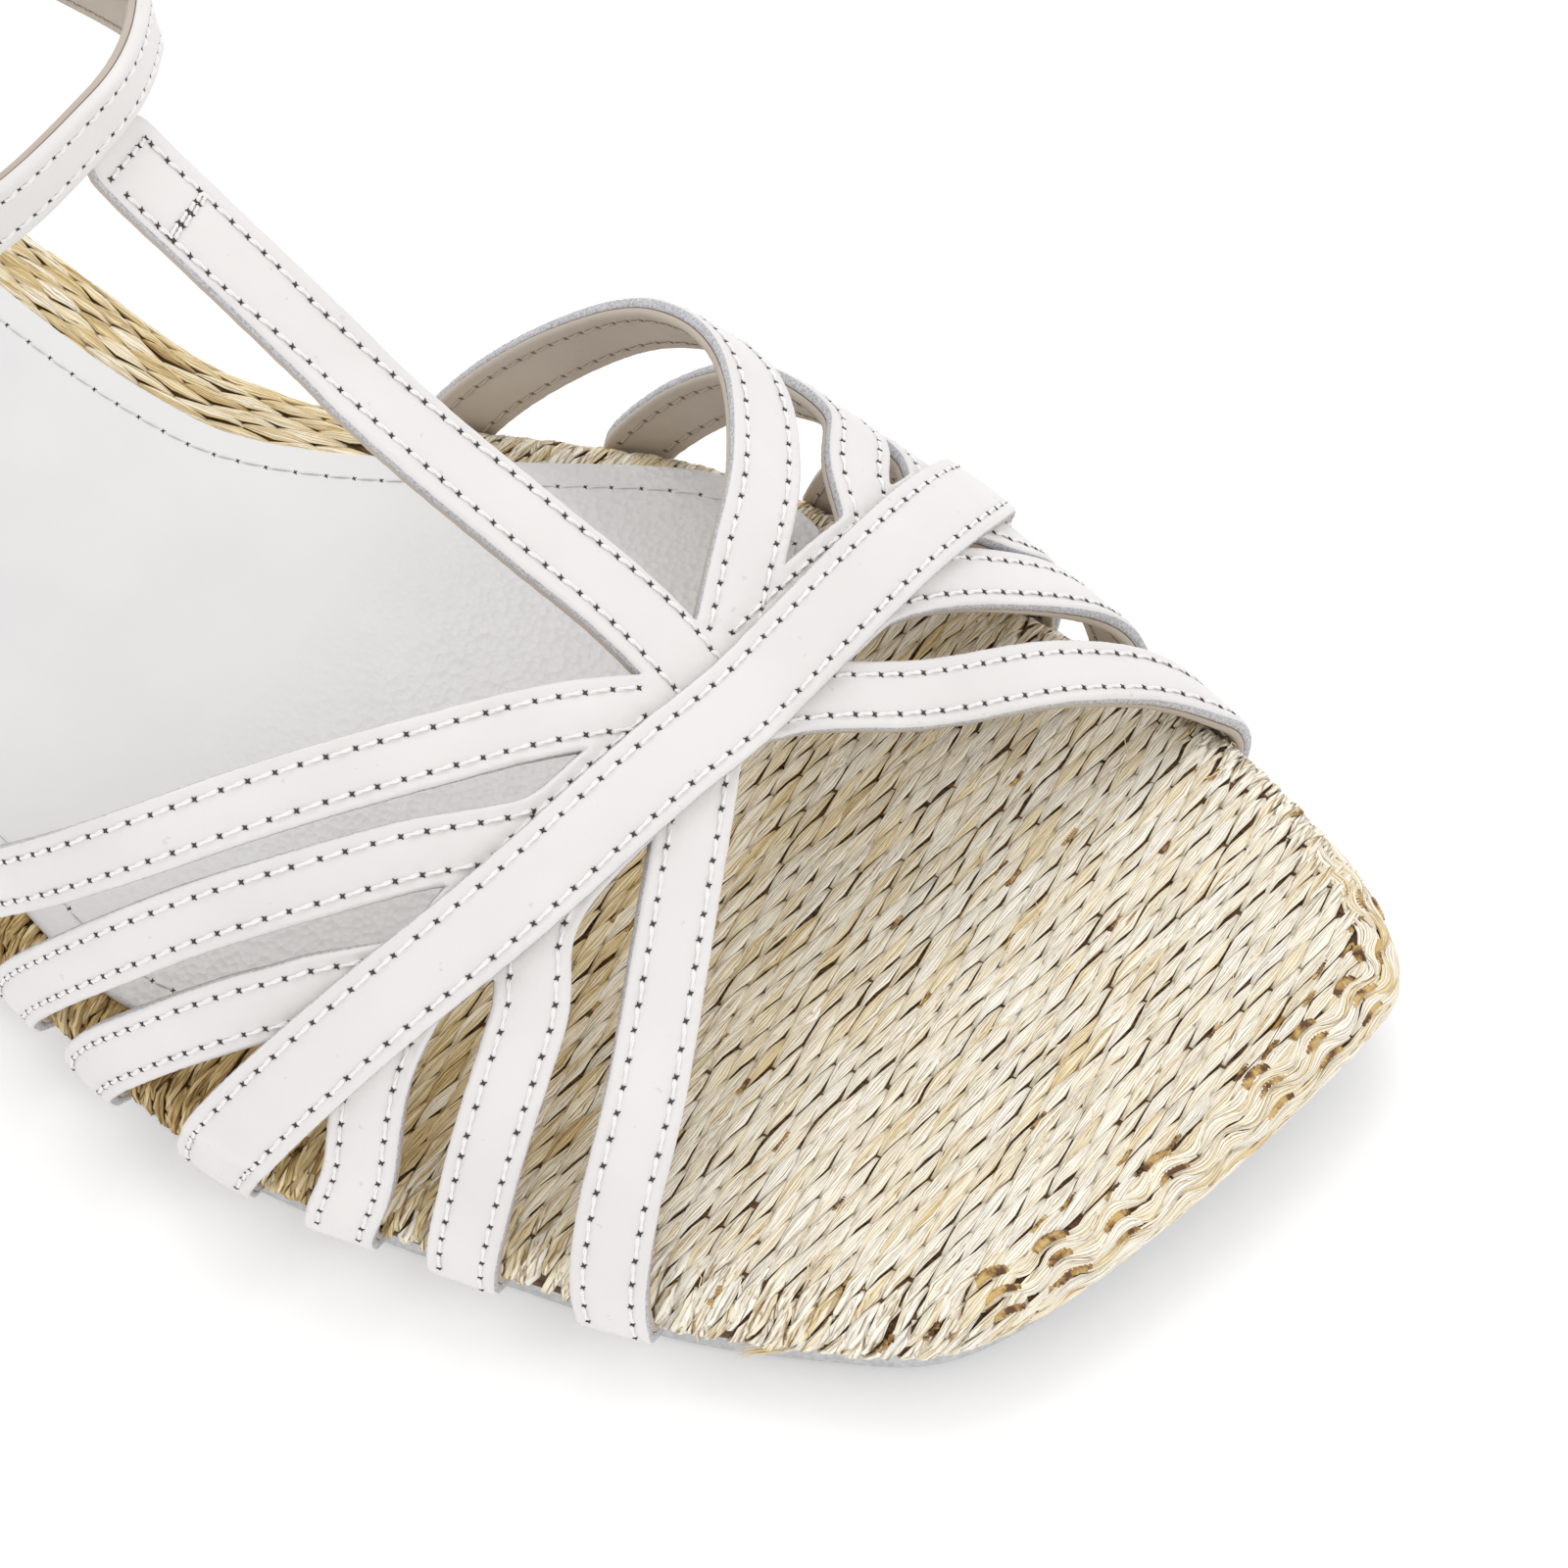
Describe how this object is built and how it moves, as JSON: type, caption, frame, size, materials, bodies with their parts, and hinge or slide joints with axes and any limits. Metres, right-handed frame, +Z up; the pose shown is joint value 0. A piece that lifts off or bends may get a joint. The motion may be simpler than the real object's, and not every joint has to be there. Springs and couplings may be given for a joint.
{
  "type": "flat sandal",
  "caption": "Flat strappy sandal, right foot, with a fan of crossing leather straps, T-bar, buckled ankle strap, closed heel and woven raffia footbed.",
  "frame": {"origin": "on the ground, under the middle of the ball of the foot, in the outsole's flat forefoot", "axes": "+X along the shoe to the toe, +Y to the inner (big toe) side, +Z up"},
  "size_m": [0.2534, 0.0946, 0.0785],
  "materials": {
    "white_leather": "smooth, satin",
    "lining_leather": "fine grain, satin",
    "raffia": "woven strands",
    "outsole_rubber": "matte",
    "buckle_metal": "polished"
  },
  "bodies": {
    "root": {"outsole": "outsole_rubber", "heel": "outsole_rubber", "footbed": "raffia", "sock_lining": "lining_leather", "upper": "white_leather", "cross_strap": "white_leather", "ankle_strap": "white_leather", "counter": "white_leather", "buckle": "buckle_metal"}
  },
  "joints": []
}
